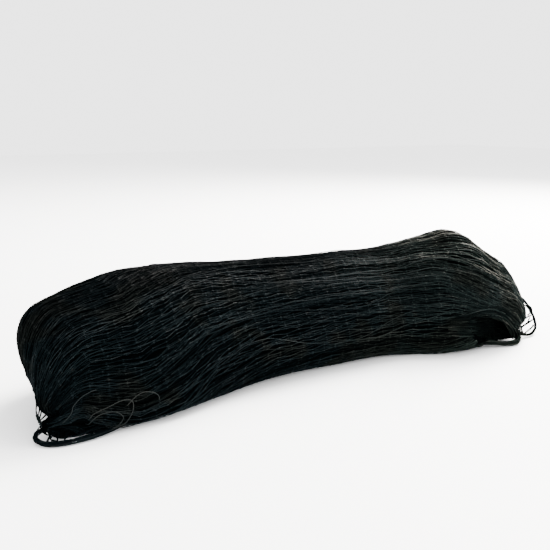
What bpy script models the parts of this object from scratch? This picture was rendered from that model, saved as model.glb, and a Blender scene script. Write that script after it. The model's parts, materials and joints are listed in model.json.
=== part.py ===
"""Bird netting: one length of fine black mesh, collapsed and folded into a hank with a drawn-in waist.

The hank lies along X on the plane z = 0, with its front towards -Y. The body is a loft through unlike sections that
shrink at both ends onto a gathered fold. Folds are pressed into its skin, the fold of the right end is left hollow,
and slack bundles of strands are joined to both ends.
The tables are in millimetres. Lengths become metres when the meshes are made.
"""

import math

import bmesh
import bpy
import numpy as np
from mathutils import Vector, noise

MM = 0.001
NAME = "bird_netting"
# The middle of the finished hank's box in the tables' X and Y. The part's origin is there, on z = 0.
MIDDLE_X = 6.3
MIDDLE_Y = 3.0

# The body's sections, from the left lobe to the right one. Each passes through four extreme points: front, top, back
# and foot. brow is the fullness of the curve from front to top, and keel of the one from foot to front: 2 is an
# ellipse, less is flatter and more is squarer.
SECTION_COLUMNS = ("x", "front_y", "front_z", "top_y", "top_z", "back_y", "back_z", "foot_y", "brow", "keel")
SECTIONS = (
    (-219, -65, 14, -2, 88, 52, 36, -14, 1.85, 2.8),
    (-203, -69, 15, 3, 91, 65, 39, -14, 1.85, 3.0),
    (-184, -71, 18, 8, 95, 73, 42, -10, 1.75, 3.2),
    (-168, -70, 19, 10, 100, 76, 44, -8, 1.75, 3.2),
    (-150, -67, 20, 12, 101, 76, 45, -8, 1.70, 3.2),
    (-132, -62, 21, 14, 101, 74, 46, -6, 1.65, 3.2),
    (-100, -52, 24, 18, 100, 71, 48, -4, 1.60, 3.0),
    (-70, -43, 28, 24, 97, 67, 49, 0, 1.50, 2.7),
    (0, -39, 32, 28, 95, 63, 50, 2, 1.45, 2.5),
    (60, -39, 32, 28, 94, 63, 50, 2, 1.45, 2.5),
    (98, -41, 28, 24, 93, 65, 48, -2, 1.50, 2.8),
    (122, -54, 24, 18, 97, 69, 46, -6, 1.60, 3.0),
    (148, -62, 23, 8, 103, 70, 42, -10, 1.70, 3.1),
    (166, -63, 23, 0, 110, 68, 40, -10, 1.75, 2.8),
    (182, -61, 24, -4, 110, 62, 36, -8, 1.75, 2.4),
    (202, -57, 24, -14, 89, 44, 27, -4, 1.80, 2.2),
)
SECTION_STEP = 8.5
QUARTER_POINTS = 14
BACK_FULLNESS = 2.1
FOOT_DEPTH = 2.0

# The gathered ends. The last section shrinks onto a fold line that climbs from a low corner at the front to the back,
# fastest at its front, by the power END_ARCH. The line bulges out along X by reach in its middle, and by less at its
# front and back. tuck is the share of the reach that the underside lacks. taper is 1 for a round end and more for a
# sloping one.
END_COLUMNS = ("side", "reach", "front_reach", "front_y", "front_z", "back_reach", "back_y", "back_z", "tuck", "taper")
ENDS = (
    (-1, 36.5, 25, -55, 6, 14, 34, 58, 0.38, 1.0),
    (1, 48, 35, -41, 17, 16, 26, 24, 0.15, 1.25),
)
END_RINGS = 7
END_LEFT_OVER = 0.18
END_ARCH = 0.5

# Folds pressed into the skin. v counts quarters round a section: 0 is the front, 1 the top, 2 the back, 3 the foot.
FOLD_COLUMNS = ("x0", "v0", "x1", "v1", "width", "depth")
FOLDS = (
    (-60, 1.04, -219, 0.88, 0.08, 2.5),
    (-95, 0.84, -219, 0.64, 0.07, 2.5),
    (-20, 0.68, -219, 0.42, 0.08, 3.0),
    (-70, 0.50, -219, 0.26, 0.07, 2.5),
    (10, 0.36, -219, 0.10, 0.08, 3.5),
    (-60, 0.18, -219, -0.06, 0.07, 3.0),
    (-110, 0.02, -235, -0.26, 0.09, 5.0),
    (30, 1.06, 202, 0.92, 0.08, 2.5),
    (90, 0.82, 202, 0.72, 0.07, 2.5),
    (10, 0.60, 202, 0.53, 0.07, 2.5),
    (70, 0.38, 202, 0.36, 0.06, 2.5),
    (20, 0.14, 140, 0.08, 0.07, 2.0),
    (-219, 1.30, 40, 1.38, 0.08, 2.5),
    (-60, 1.62, 202, 1.50, 0.08, 3.0),
    (-219, 1.84, 150, 1.86, 0.08, 3.0),
    (-140, 2.18, 202, 2.06, 0.08, 3.5),
    (-219, 2.42, 110, 2.40, 0.09, 3.0),
)
FOLD_FADE = 30.0
LUMP_SIZE = 46.0
LUMP_HEIGHT = 2.2

# The hollow in the fold of the right end: a tilted ellipsoid, cut in from the front.
HOLLOW_CENTRE = (182, -58, 20)
HOLLOW_HALVES = (36, 40, 12)
HOLLOW_TILT = 18.0

# Slack bundles of strands, and the fold that sags under the left end: the radius and the route of each, from inside
# the body and back into it.
LEFT_LOOP_RADIUS = 2.3
LEFT_LOOP = (
    (-222, -35, 16),
    (-239, -41, 11),
    (-248, -47, 6.5),
    (-250.5, -54, 3.4),
    (-246, -62, 2.5),
    (-236, -66.5, 2.5),
    (-222, -67, 2.5),
    (-208, -65, 2.8),
    (-192, -61, 5),
    (-176, -52, 10),
)
LEFT_FOLD_RADIUS = 5.5
LEFT_FOLD = (
    (-228, -34, 13),
    (-235, -43, 9),
    (-233, -50, 6.6),
    (-223, -54.5, 6.2),
    (-211, -56, 6.4),
    (-197, -55.5, 7.5),
    (-184, -50, 12),
)
LIP_RADIUS = 3.0
LIP = (
    (152, -47, 12),
    (167, -52, 8.5),
    (182, -53, 6),
    (197, -57, 3.6),
    (212, -58, 3.3),
    (222, -49, 7),
    (229, -38, 14),
)
RIGHT_LOOP_RADIUS = 1.3
RIGHT_LOOP = (
    (240, -25, 42),
    (253, -27, 34),
    (260, -29, 25),
    (264, -32, 15.5),
    (262, -37, 7.5),
    (254, -42, 4),
    (243, -45.5, 2.6),
    (230, -45, 5),
)
STEPS_PER_SPAN = 3

NET_COLOUR = (0.012, 0.016, 0.015, 1.0)
NET_ROUGHNESS = 0.75


def rows(columns, table):
    return [dict(zip(columns, row)) for row in table]


def metres(point):
    """A point of the tables in the part's frame."""
    return Vector((point[0] - MIDDLE_X, point[1] - MIDDLE_Y, point[2])) * MM


def clear_scene():
    for item in list(bpy.data.objects):
        bpy.data.objects.remove(item, do_unlink=True)


def through(xs, ys, x):
    """The height at x of one smooth curve through the points (xs, ys)."""
    slopes = np.gradient(ys, xs)
    i = min(max(int(np.searchsorted(xs, x)) - 1, 0), len(xs) - 2)
    span = xs[i + 1] - xs[i]
    t = (x - xs[i]) / span
    start = (2 * t**3 - 3 * t**2 + 1) * ys[i] + (t**3 - 2 * t**2 + t) * span * slopes[i]
    end = (3 * t**2 - 2 * t**3) * ys[i + 1] + (t**3 - t**2) * span * slopes[i + 1]
    return start + end


def section_at(x):
    """The named measures of the body's section at x."""
    table = np.array(SECTIONS, float)
    measures = {name: through(table[:, 0], table[:, i], x) for i, name in enumerate(SECTION_COLUMNS)}
    measures["x"] = x
    return measures


def quarter(start, end, fullness, turned):
    """Points from start up to end, without end, on a quarter of a superellipse. turned swaps which one is upright."""
    points = []
    for i in range(QUARTER_POINTS):
        angle = 0.5 * math.pi * i / QUARTER_POINTS
        along = math.sin(angle) ** (2 / fullness)
        back = 1 - math.cos(angle) ** (2 / fullness)
        first, second = (along, back) if turned else (back, along)
        points.append((start[0] + (end[0] - start[0]) * first, start[1] + (end[1] - start[1]) * second))
    return points


def section_ring(x):
    """One closed section of the body at x, as an array of points."""
    s = section_at(x)
    front = (s["front_y"], s["front_z"])
    top = (s["top_y"], s["top_z"])
    back = (s["back_y"], s["back_z"])
    foot = (s["foot_y"], -FOOT_DEPTH)
    outline = quarter(front, top, s["brow"], False)
    outline += quarter(top, back, BACK_FULLNESS, True)
    outline += quarter(back, foot, BACK_FULLNESS, False)
    outline += quarter(foot, front, s["keel"], True)
    return np.array([(x, y, z) for y, z in outline])


def press_folds(ring, x):
    """Moves a ring's points in towards its middle where a fold passes, and in or out by a slow unevenness."""
    middle = ring.mean(axis=0)
    pressed = ring.copy()
    for i, point in enumerate(ring):
        v = i / QUARTER_POINTS
        depth = -LUMP_HEIGHT * noise.noise(Vector(point / LUMP_SIZE))
        for fold in rows(FOLD_COLUMNS, FOLDS):
            low, high = sorted((fold["x0"], fold["x1"]))
            share = (x - fold["x0"]) / (fold["x1"] - fold["x0"])
            centre = fold["v0"] + (fold["v1"] - fold["v0"]) * min(max(share, 0), 1)
            off = (v - centre + 2) % 4 - 2
            fade = min(max((x - low) / FOLD_FADE + 1, 0), 1) * min(max((high - x) / FOLD_FADE + 1, 0), 1)
            depth += fold["depth"] * fade * math.exp(-((off / fold["width"]) ** 2))
        inwards = middle - point
        pressed[i] = point + inwards * depth / np.linalg.norm(inwards)
    return pressed


def end_rings(last, end):
    """Rings that shrink a lobe's last section onto its fold line, from the section outwards."""
    depth = (last[:, 1] - last[:, 1].min()) / np.ptp(last[:, 1])
    line_y = end["front_y"] + (end["back_y"] - end["front_y"]) * depth
    line_z = end["front_z"] + (end["back_z"] - end["front_z"]) * depth**END_ARCH
    reach = end["reach"] - (end["reach"] - end["front_reach"]) * (1 - depth) ** 2
    reach -= (end["reach"] - end["back_reach"]) * depth**3
    reach *= 1 - end["tuck"] * np.clip(1 - last[:, 2] / line_z, 0, 1)
    rings = []
    for i in range(1, END_RINGS + 1):
        angle = 0.5 * math.pi * i / END_RINGS
        size = END_LEFT_OVER + (1 - END_LEFT_OVER) * math.cos(angle) ** end["taper"]
        ring = last.copy()
        ring[:, 0] += end["side"] * reach * math.sin(angle)
        ring[:, 1] = line_y + (last[:, 1] - line_y) * size
        ring[:, 2] = line_z + (last[:, 2] - line_z) * size
        rings.append(ring)
    return rings


def body_rings():
    first, last = SECTIONS[0][0], SECTIONS[-1][0]
    count = round((last - first) / SECTION_STEP)
    stations = np.linspace(first, last, count + 1)
    rings = [press_folds(section_ring(x), x) for x in stations]
    left, right = rows(END_COLUMNS, ENDS)
    return end_rings(rings[0], left)[::-1] + rings + end_rings(rings[-1], right)


def mesh_object(name, bm, collection):
    bmesh.ops.recalc_face_normals(bm, faces=bm.faces[:])
    mesh = bpy.data.meshes.new(name)
    bm.to_mesh(mesh)
    bm.free()
    mesh.shade_smooth()
    made = bpy.data.objects.new(name, mesh)
    collection.objects.link(made)
    return made


def loft(name, rings, collection):
    """A closed skin over rings with as many points each, with a middle point at both ends."""
    bm = bmesh.new()
    skin = []
    for ring in rings:
        skin.append([bm.verts.new(metres((x, y, max(z, 0)))) for x, y, z in ring])
    for low, high in zip(skin, skin[1:]):
        for i in range(len(low)):
            j = (i + 1) % len(low)
            bm.faces.new((low[i], low[j], high[j], high[i]))
    for ring in (skin[0], skin[-1]):
        middle = bm.verts.new(sum((vert.co for vert in ring), Vector()) / len(ring))
        for i in range(len(ring)):
            bm.faces.new((ring[i], ring[(i + 1) % len(ring)], middle))
    return mesh_object(name, bm, collection)


def bundle(name, route, radius, collection):
    """A closed round tube along a smooth curve through a route's points, made a mesh."""
    at = np.arange(len(route), dtype=float)
    points = np.array(route, float)
    count = (len(route) - 1) * STEPS_PER_SPAN + 1
    smooth = [[through(at, points[:, k], t) for k in range(3)] for t in np.linspace(0, at[-1], count)]
    curve = bpy.data.curves.new(name, "CURVE")
    curve.dimensions = "3D"
    curve.bevel_depth = radius * MM
    curve.bevel_resolution = 2
    curve.use_fill_caps = True
    spline = curve.splines.new("POLY")
    spline.points.add(count - 1)
    for point, place in zip(spline.points, smooth):
        point.co = (*metres(place), 1)
    drawn = bpy.data.objects.new(name + "_route", curve)
    collection.objects.link(drawn)
    bpy.context.view_layer.update()
    depsgraph = bpy.context.evaluated_depsgraph_get()
    bm = bmesh.new()
    bm.from_mesh(bpy.data.meshes.new_from_object(drawn.evaluated_get(depsgraph)))
    bmesh.ops.remove_doubles(bm, verts=bm.verts[:], dist=0.01 * MM)
    bpy.data.objects.remove(drawn)
    return mesh_object(name, bm, collection)


def hollow(collection):
    """The cutter for the hollow in the right end's fold."""
    bm = bmesh.new()
    bmesh.ops.create_uvsphere(bm, u_segments=20, v_segments=12, radius=1)
    for vert in bm.verts:
        vert.co = Vector([c * half * MM for c, half in zip(vert.co, HOLLOW_HALVES)])
    cutter = mesh_object("fold_hollow", bm, collection)
    cutter.location = metres(HOLLOW_CENTRE)
    cutter.rotation_euler.y = math.radians(HOLLOW_TILT)
    return cutter


def combine(target, tool, operation):
    tool.hide_render = True
    tool.display_type = "WIRE"
    modifier = target.modifiers.new(tool.name, "BOOLEAN")
    modifier.operation = operation
    modifier.solver = "EXACT"
    modifier.object = tool


def net_material():
    material = bpy.data.materials.new("black_net")
    material.use_nodes = True
    shader = material.node_tree.nodes["Principled BSDF"]
    shader.inputs["Base Color"].default_value = NET_COLOUR
    shader.inputs["Roughness"].default_value = NET_ROUGHNESS
    shader.inputs["Metallic"].default_value = 0.0
    material.diffuse_color = NET_COLOUR
    return material


def main():
    clear_scene()
    part = bpy.data.collections.new(NAME)
    tools = bpy.data.collections.new("cutters")
    bpy.context.scene.collection.children.link(part)
    bpy.context.scene.collection.children.link(tools)
    hank = loft("net_hank", body_rings(), part)
    combine(hank, hollow(tools), "DIFFERENCE")
    combine(hank, bundle("left_loop", LEFT_LOOP, LEFT_LOOP_RADIUS, tools), "UNION")
    combine(hank, bundle("left_fold", LEFT_FOLD, LEFT_FOLD_RADIUS, tools), "UNION")
    combine(hank, bundle("fold_lip", LIP, LIP_RADIUS, tools), "UNION")
    combine(hank, bundle("right_loop", RIGHT_LOOP, RIGHT_LOOP_RADIUS, tools), "UNION")
    hank.data.materials.append(net_material())


main()
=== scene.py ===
"""Bird netting: a hank of fine black net, folded and gathered to a long bundle.

Laid out as an add-on: settings, one operator for each group of pieces, one for
the stage, and a panel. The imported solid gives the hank's skin. Every strand is
laid along that skin from one end to the other, over darker folds inside, and the
slack bundles and threads hang off its two ends.
"""

import functools
import json
import math
import random

import bmesh
import bpy
import numpy as np
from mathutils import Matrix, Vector, noise
from mathutils.bvhtree import BVHTree

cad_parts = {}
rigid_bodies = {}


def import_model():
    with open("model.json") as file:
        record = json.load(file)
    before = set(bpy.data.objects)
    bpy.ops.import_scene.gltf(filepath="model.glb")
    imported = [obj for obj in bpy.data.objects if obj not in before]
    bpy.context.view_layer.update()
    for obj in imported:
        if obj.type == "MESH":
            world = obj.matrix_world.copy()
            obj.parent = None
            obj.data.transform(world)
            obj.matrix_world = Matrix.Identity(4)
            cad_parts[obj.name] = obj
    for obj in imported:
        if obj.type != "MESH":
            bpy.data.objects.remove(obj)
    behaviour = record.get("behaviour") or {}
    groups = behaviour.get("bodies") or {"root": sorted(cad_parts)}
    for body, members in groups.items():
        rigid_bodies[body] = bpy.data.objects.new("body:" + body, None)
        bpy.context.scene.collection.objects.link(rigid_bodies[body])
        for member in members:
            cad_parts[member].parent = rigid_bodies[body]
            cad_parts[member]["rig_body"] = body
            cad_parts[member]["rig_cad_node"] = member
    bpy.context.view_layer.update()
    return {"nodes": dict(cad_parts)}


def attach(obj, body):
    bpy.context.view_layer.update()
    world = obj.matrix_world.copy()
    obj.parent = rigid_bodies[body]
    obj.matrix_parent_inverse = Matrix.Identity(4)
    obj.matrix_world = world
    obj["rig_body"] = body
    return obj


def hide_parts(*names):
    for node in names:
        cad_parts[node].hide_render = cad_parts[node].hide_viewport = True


bl_info = {
    "name": "Bird netting hank",
    "version": (1, 0, 0),
    "blender": (4, 5, 0),
    "location": "3D View > Sidebar > Bird netting",
    "description": "Dresses the hank of bird netting with strands, slack loops and a stage",
    "category": "Object",
}

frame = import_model()

BODY = "root"
NODE = "net_hank"
MM = 0.001
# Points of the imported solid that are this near, in metres, are one.
WELD = 0.00002

# All places and lengths in these tables are in mm, and all angles in degrees.
# The line inside the hank that the skin is read from: x, y and z.
SPINE = (
    (-196, -4, 43), (-138, 3, 45), (-76, 10, 47), (54, 11, 48),
    (116, 5, 47), (159, -1, 46), (194, -9, 41),
)
# Stretches of the skin's stations: how many, first and last x, first and last lean towards the end's
# gathering point.
STATION_SPANS = (
    (30, -190, -190, 88, 42),
    (24, -190, -122, 42, 0),
    (62, -122, 125, 0, 0),
    (20, 125, 185, 0, 40),
    (29, 185, 185, 40, 88),
)
# The points that the two ends gather to, and the step from ray to ray round the hank.
LEFT_GATHERED = (-252, -51, 12)
RIGHT_GATHERED = (232, -45, 10)
ANGLE_STEP = 2.0
# Rays start this far from the spine, in metres. Hits within so many radii of loose yarn are passed over.
RAY_START = 0.2
LOOP_MARGIN = 1.4
# Steps between the points of the loose yarn's routes, and how often the skin is smoothed.
LOOSE_STEP = 2.0
SKIN_SMOOTHING = 2

# How far the strands have turned about the hank, by place along it.
DRIFT_ALONG = (-278, -262, -250, -232, -190, -150, -110, -60, 0, 60, 110, 150, 190, 230, 273)
DRIFT_TURN = (2, 0, -4, -13, -23, -19, -11, -3, 0, 0, 0, -1, -3, -5, -5)

# The open fold at the right end parts the strands round it: where it is widest, and, by place along, the
# angle of its middle and half its width.
MOUTH_WIDEST = 205
MOUTH_ALONG = (120, 140, 155, 168, 185, 215, 234, 246, 254)
MOUTH_ANGLE = (-14, -16, -18, -20, -24, -30, -35, -40, -43)
MOUTH_HALF = (0, 1, 4, 8, 14, 16, 13, 6, 0)
# How far the strands draw in from both sides towards a line above the open fold, how far above it is, and
# how fast the draw falls off round the hank.
DRAWN_ALONG = (90, 120, 150, 180, 205, 273)
DRAWN_IN = (0, 8, 21, 28, 28, 25)
DRAWN_ABOVE = 22
DRAWN_FALL = 1.5
# Smaller partings: place along, angle, run along and half width.
PARTINGS = (
    (-245, 54, 14, 2.5), (-174, 16, 16, 2.5), (-243, -22, 14, 8), (-118, 40, 20, 2),
    (150, 52, 20, 2.5), (-205, 120, 26, 2.5), (150, 165, 26, 1.5), (-60, 200, 30, 1.5),
)

# A taut strand bridges hollows of up to this many stations either way, and lifts by this much at most.
BRIDGE_REACH = 4
BRIDGE_LIMIT = 1.0
# Half the length of a knot.
KNOT_HALF = 0.9

# Routes of the slack yarn.
SLACK_BUNDLE = (
    (-225, -41, 11), (-240, -47, 7.5), (-253.5, -51, 6), (-256.8, -57, 3.4), (-252.3, -65, 2.5),
    (-242.3, -69.5, 2.5), (-228.3, -70, 2.5), (-214.3, -68, 2.8), (-198.3, -64, 5), (-182.3, -55, 10),
)
SLACK_RADIUS = 2.3
# Strands that turn the left end's lower corner, above the slack bundle.
LEFT_CORNER = (
    (-251, -52, 13), (-249, -54, 11), (-247, -56, 8), (-244, -57, 5), (-240, -57, 3), (-235, -57, 2),
)
# The fold that sags under the left end, and the lower lip of the open fold.
SAGGING_FOLD = (
    (-230, -40, 11), (-239, -47, 8), (-239.3, -53, 6.6), (-229.3, -57.5, 6.2),
    (-217.3, -59, 6.4), (-203.3, -58.5, 7.5), (-190.3, -53, 12),
)
LIP = (
    (145.7, -50, 12), (160.7, -55, 8.5), (175.7, -56, 6), (190.7, -60, 3.6),
    (205.7, -61, 3.3), (215.7, -52, 7), (222.7, -41, 14),
)
# Strands gathered round the open fold's mouth: how many, radius and route.
FOLD_RIMS = (
    (34, 2.8, (
        (122, -50, 36), (130, -56, 38), (140, -60, 40), (152, -62, 41), (164, -63, 40), (174, -62, 37),
        (184, -62, 32), (193, -60, 26), (202, -58, 19), (212, -54, 12), (216, -54, 6), (210, -57, 2),
        (199, -60, 2),
    )),
    (26, 2.4, (
        (138, -54, 37), (154, -60, 37), (167, -61, 36), (178, -60, 33), (189, -58, 27), (198, -56, 19),
        (206, -54, 11), (208, -56, 5),
    )),
    (24, 2.4, (
        (158, -56, 42), (177, -63, 41), (190, -62, 34), (201, -60, 27), (211, -57, 19), (219, -53, 10),
        (223, -51, 4),
    )),
)
# Strands that run from the front down into the open fold, one row above another.
FOLD_THROAT = (
    ((121, -53, 37), (126, -57.5, 38), (135, -60, 38), (147, -59, 36), (169, -50, 30.5), (191, -43, 24.5),
     (212, -37, 18)),
    ((121, -53.5, 34), (126, -58, 35), (135, -60.5, 34.5), (146, -59.5, 33), (169, -50, 27.5),
     (192, -43, 21.5), (212, -37, 16)),
    ((120, -54, 31), (126, -58.5, 31.5), (135, -61, 31.5), (146, -60, 30), (170, -50, 24), (192, -43, 18),
     (213, -37, 13)),
    ((120, -54.5, 28), (126, -59, 28.5), (135, -61.5, 28), (146, -60.5, 26), (170, -50, 20), (192, -43, 15),
     (213, -37, 10)),
    ((120, -55, 25), (125, -59.5, 25), (134, -62, 24.5), (146, -61, 22.5), (170, -50, 16), (193, -43, 11),
     (213, -37, 7)),
    ((119, -55.5, 22.5), (125, -60, 22), (134, -62.5, 21), (145, -61.5, 19), (170, -50, 12), (193, -43, 7.5),
     (214, -37, 4)),
)
# Painted shade: how the throat's strands darken on their way into the hollow: place along, and share of their
# shade.
THROAT_ALONG = (125, 140, 155, 190)
THROAT_PAINTED_SHADE = (1.0, 0.6, 0.2, 0.08)
# Strands across the foot of the open fold, and behind it.
FOLD_SILL = ((184.5, -42, 5.3), (193, -44.5, 4.6), (201, -46, 5.4), (209.7, -47, 6), (220, -48, 5.7))
FOLD_BACK = ((188, -38, 5), (200, -41, 4.5), (208, -43, 4.5), (214, -46, 5), (220, -48, 8))
# The hollow of the open fold: its middle, its reach along, back and up, and how dark its painted shadow makes
# the yarn.
HOLLOW_MIDDLE = (194, -40, 18)
HOLLOW_REACH = (26, 14, 15)
HOLLOW_PAINTED_SHADOW = 0.82
# The gap at the left end: its middle, the way through it, its half width there, how that falls off above and
# below, how deep the gap is, and how far aside the strands are crowded.
GAP_MIDDLE = (-249.5, -52, 16.7)
GAP_WAY = (0.19, 0.91, -0.37)
GAP_WIDTH = 5.5
GAP_RISE = 3.4
GAP_DROP = 1.7
GAP_DEPTH = 25.0
GAP_SPREAD = 9.0
# The inner folds are cut finer in rounds, each within so far of the gap, down to edges of about GAP_FACET.
# The gap in them is a little wider than in the strands.
GAP_ROUNDS = (25.0, 20.0, 15.0, 12.0)
GAP_FACET = 1.0
INNER_GAP = 1.15
# How far from the ends the strands are painted into lit and shaded bunches, with painted shadow between them,
# where they gather. The bunches of the left end have this share of the shade of the right end's, and the one
# runs over into the other across the waist.
GATHER_REACH = 28.0
LEFT_GATHERED_SHARE = 0.75
WAIST = (-50, 50)
# The way that the right end's side with the painted sheen faces, and how squarely a strand has to face it for
# the painted sheen to start and to be whole. The way of the side behind it, likewise, and the share of the
# painted sheen left there.
PAINTED_SHEEN_WAY = (0.65, 0.5, 0.57)
PAINTED_SHEEN_FACING = (-0.25, 0.55)
SHADED_WAY = (0.54, 0.84, 0.0)
SHADED_FACING = (0.15, 0.65)
SHADED_SHARE = 0.2
# How far along the painted sheen starts and is whole.
PAINTED_SHEEN_ALONG = (95.0, 140.0)
# The loop of slack yarn that stands off the right end.
FINE_LOOP = (
    (233.7, -28, 42), (246.7, -30, 34), (253.7, -32, 25), (257.7, -35, 15.5),
    (255.7, -40, 7.5), (247.7, -45, 4), (236.7, -48.5, 2.6), (223.7, -48, 5),
)
FINE_LOOP_RADIUS = 1.3
# Threads across the fine loop, from the hank's end to the loop: how many, and route.
LOOP_THREADS = (
    (3, ((252.5, -27, 29), (256.5, -28, 26.5), (259.5, -29, 24), (260.5, -30, 21), (257.5, -31, 19),
         (252, -32, 17.5))),
    (3, ((244, -27, 31), (251, -29, 27), (256, -30, 23), (257, -31, 19))),
    (9, ((223, -46, 8), (229.5, -44, 9.5), (238, -41, 11), (246, -39, 12), (255, -36, 13))),
    (6, ((226, -48, 4), (231.5, -47, 4.5), (241, -44, 5.5), (247.5, -42, 7), (252.5, -40, 8.5))),
    (4, ((237, -38, 15.5), (245, -36, 16), (251.5, -34, 16.5), (257.5, -32, 16.5))),
    (3, ((253.5, -34, 15.5), (248, -37, 14), (243, -40, 12))),
)
# Strands gathered above the left end's upper gap, and the thin cord below it.
GAP_RIM = (
    (-251.1, -46, 33.3), (-251.3, -47, 30.8), (-251.4, -48.5, 28.3), (-251, -50, 25.8), (-249.5, -51, 22.9),
    (-247.9, -52, 20.8), (-246.1, -53, 18.9), (-243.3, -54, 16.9),
)
GAP_CORD = (
    (-254.1, -54, 20), (-253.6, -54.5, 18), (-252.6, -55, 15), (-251.4, -56, 12.3), (-249.4, -57, 9.7),
    (-246.3, -58, 7),
)
# Threads across the upper gap at the left end, and those from the hank down to the slack bundle.
UPPER_GAP_THREADS = (
    ((-253, -50, 29), (-253.6, -52, 25.6), (-254.2, -53, 23), (-254, -54, 20), (-253.4, -54.5, 17.5)),
    ((-251, -50, 25), (-252, -52, 21), (-253.6, -53.5, 18.5), (-253, -55, 15)),
    ((-249.5, -50, 22), (-251.5, -52, 18), (-252.5, -54, 15), (-252, -55, 11)),
    ((-243, -53, 21), (-249, -52.5, 17), (-253.5, -53, 13.5)),
)
LOWER_GAP_THREADS = (
    ((-252, -53, 10), (-251, -57, 7.5), (-248, -60, 6), (-241, -60, 7)),
    ((-246, -58, 8.5), (-249, -62.5, 5.5), (-251, -66, 4)),
    ((-244.5, -60, 7), (-248.5, -64.5, 5), (-245, -68.5, 4.3)),
    ((-241, -58, 8), (-243.5, -64.5, 5), (-245, -69, 4.3)),
    ((-235, -59, 7), (-238, -66, 5), (-240, -69.5, 4.4)),
    ((-238, -66, 4.5), (-231, -68, 5), (-225.5, -68, 5.5), (-219, -66, 6.5), (-210, -62, 8)),
)
# Loose curls on the front of the left lobe: how far out they lie, the step between their points, their
# shade, and the places along and angles that they pass.
CURL_RISE = 1.1
CURL_STEP = 1.5
CURL_SHADE = 1.35
CURLS = (
    ((-238, 340), (-232, 346), (-218, 350), (-209, 352), (-201, 351), (-198, 347), (-199, 340), (-203, 334),
     (-211, 331), (-221, 330)),
    ((-262, 350), (-255, 358), (-253, 6), (-247, 9), (-238, 8), (-228, 6)),
    ((-204, 346), (-198, 351), (-190, 353), (-182, 351), (-176, 347), (-174, 341)),
    ((-240, 334), (-228, 344), (-214, 345), (-206, 338), (-212, 329)),
)


# ---- settings


class YarnSizes(bpy.types.PropertyGroup):
    """Sizes of the net's yarn and of its layers."""

    diameter: bpy.props.FloatProperty(
        name="Yarn diameter", description="Thickness of one strand of the net",
        default=0.00066, min=0.0002, unit="LENGTH", precision=5,
    )
    outer_count: bpy.props.IntProperty(
        name="Outer strands", description="Strands side by side round the outside of the hank",
        default=270, min=20,
    )
    under_count: bpy.props.IntProperty(
        name="Lower strands", description="Strands in each of the two layers below the outside",
        default=150, min=20,
    )
    stray_count: bpy.props.IntProperty(
        name="Stray strands", description="Strands that cross the others on the outside",
        default=70, min=0,
    )
    mesh_bar: bpy.props.FloatProperty(
        name="Mesh bar", description="Length of yarn from one knot of the net to the next",
        default=0.012, min=0.004, unit="LENGTH",
    )
    knot_swell: bpy.props.FloatProperty(
        name="Knot swell", description="Thickness of a knot over the thickness of the yarn",
        default=1.9, min=1.0, subtype="FACTOR",
    )
    inner_depth: bpy.props.FloatProperty(
        name="Inner folds' depth", description="How far below the skin the packed inner folds lie",
        default=0.0019, min=0.0, unit="LENGTH", precision=5,
    )


def colour_setting(name, description, default):
    """A property that holds a colour."""
    return bpy.props.FloatVectorProperty(
        name=name, description=description, default=default, subtype="COLOR", min=0.0, max=1.0
    )


class YarnColours(bpy.types.PropertyGroup):
    """Colours of the yarn and of the stage."""

    deep: colour_setting("Yarn, deep", "The blackest yarn", (0.0003, 0.0005, 0.0006))
    pale: colour_setting(
        "Yarn, pale", "The palest yarn of the lobe with the slack bundle", (0.0023, 0.0047, 0.0055)
    )
    # Painted light: the lit side of the lobe with the open fold, paler than the other lobe's yarn.
    painted_lit_pale: colour_setting(
        "Yarn, worn", "The palest yarn of the lobe with the open fold", (0.0098, 0.0145, 0.0114)
    )
    # Painted sheen: the lit upper, outer side of the lobe with the open fold.
    painted_sheen: colour_setting(
        "Yarn, faded", "The yarn on the upper, outer side of the lobe with the open fold",
        (0.056, 0.054, 0.045),
    )
    brown: colour_setting(
        "Yarn, brown", "Pale yarn in the browner patches of the net", (0.0060, 0.0066, 0.0050)
    )
    dusty: colour_setting("Yarn, dusty", "Yarn with a little dust and wear on it", (0.0100, 0.0095, 0.0078))
    inside: colour_setting("Inner folds", "The folds deep in the hank", (0.0003, 0.0004, 0.0004))
    floor: colour_setting("Floor", "The pale floor of the stage", (0.93, 0.93, 0.93))


# ---- materials

# Length of one turn of the yarn's twist, its plies, and the depth of the bumps, in metres.
TWIST_PITCH = 0.0024
TWIST_PLIES = 2
YARN_RELIEF = 0.00012
INSIDE_RELIEF = 0.0008
FLOOR_RELIEF = 0.0001
BUMP_STRENGTH = 0.8


class Value:
    """A shader socket that can be written with in sums and products."""

    def __init__(self, shader, socket):
        self.shader = shader
        self.socket = socket

    def _math(self, operation, first, second):
        return self.shader.node("ShaderNodeMath", {"operation": operation}, {0: first, 1: second})

    def __add__(self, other):
        return self._math("ADD", self, other)

    def __radd__(self, other):
        return self._math("ADD", other, self)

    def __sub__(self, other):
        return self._math("SUBTRACT", self, other)

    def __rsub__(self, other):
        return self._math("SUBTRACT", other, self)

    def __mul__(self, other):
        return self._math("MULTIPLY", self, other)

    def __rmul__(self, other):
        return self._math("MULTIPLY", other, self)

    def wave(self):
        """Its sine."""
        return self.shader.node("ShaderNodeMath", {"operation": "SINE"}, {0: self})

    def clamped(self, low, high):
        """0 at low, 1 at high, smooth between."""
        return self.shader.node(
            "ShaderNodeMapRange", {"interpolation_type": "SMOOTHSTEP"},
            {"Value": self, "From Min": low, "From Max": high},
        )


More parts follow.
